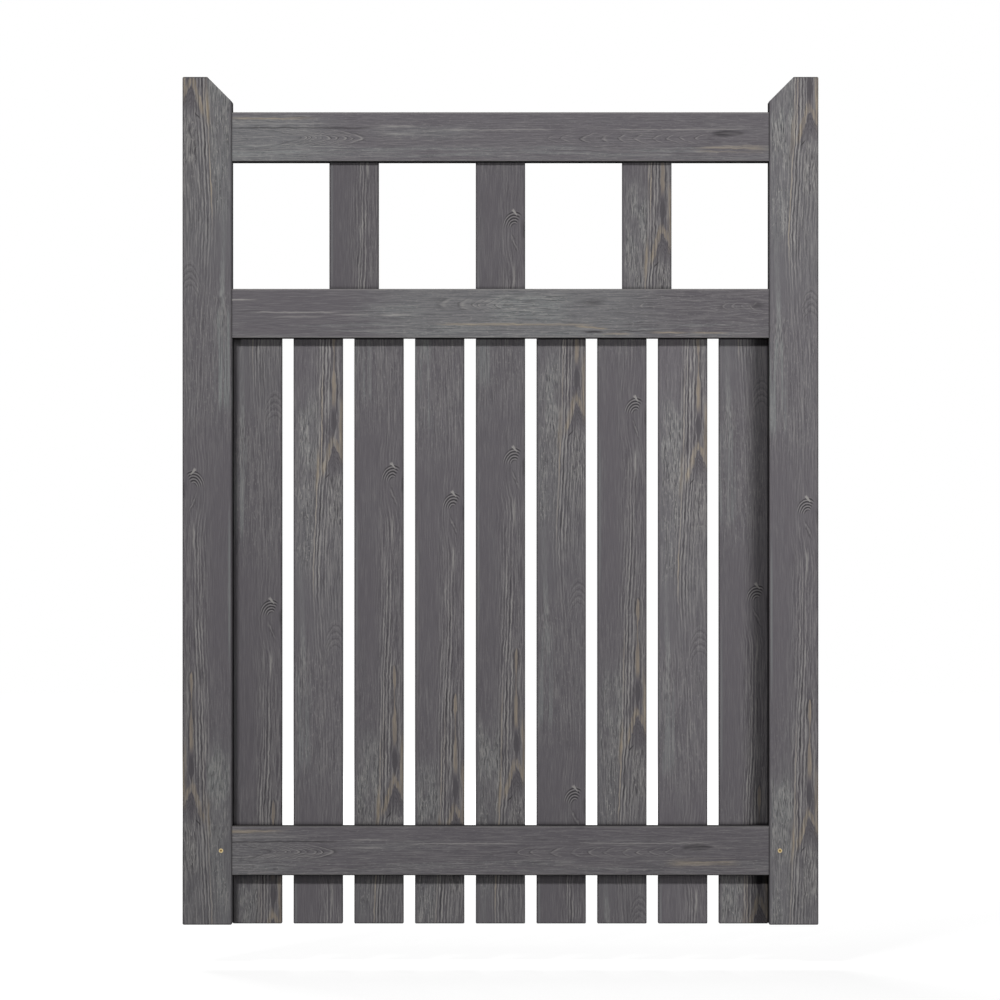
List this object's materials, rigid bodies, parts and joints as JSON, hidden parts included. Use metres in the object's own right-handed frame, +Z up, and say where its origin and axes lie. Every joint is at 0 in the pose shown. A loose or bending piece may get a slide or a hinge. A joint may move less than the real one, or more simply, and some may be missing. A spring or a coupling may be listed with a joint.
{
  "type": "wooden garden gate leaf",
  "caption": "Framed garden gate leaf of stained softwood: two stiles with sloped heads, three rails, short upper slats and spaced vertical boards below.",
  "frame": {"origin": "middle of the left stile's outer edge face, at half the height and half the depth of the gate", "axes": "+X across the gate from the hinge edge to the latch edge, +Y from the front to the back, +Z up"},
  "size_m": [0.9, 0.045, 1.2],
  "materials": {
    "stained_wood": "matte dark grey stain over brushed softwood",
    "screw_metal": "satin yellow passivated steel"
  },
  "bodies": {
    "root": {"left_stile": "stained_wood", "right_stile": "stained_wood", "top_rail": "stained_wood", "middle_rail": "stained_wood", "bottom_rail": "stained_wood", "upper_slat_1": "stained_wood", "upper_slat_2": "stained_wood", "upper_slat_3": "stained_wood", "board_1": "stained_wood", "board_2": "stained_wood", "board_3": "stained_wood", "board_4": "stained_wood", "board_5": "stained_wood", "board_6": "stained_wood", "board_7": "stained_wood", "board_8": "stained_wood", "board_9": "stained_wood", "left_tenon_screw": "screw_metal", "right_tenon_screw": "screw_metal"}
  },
  "joints": []
}
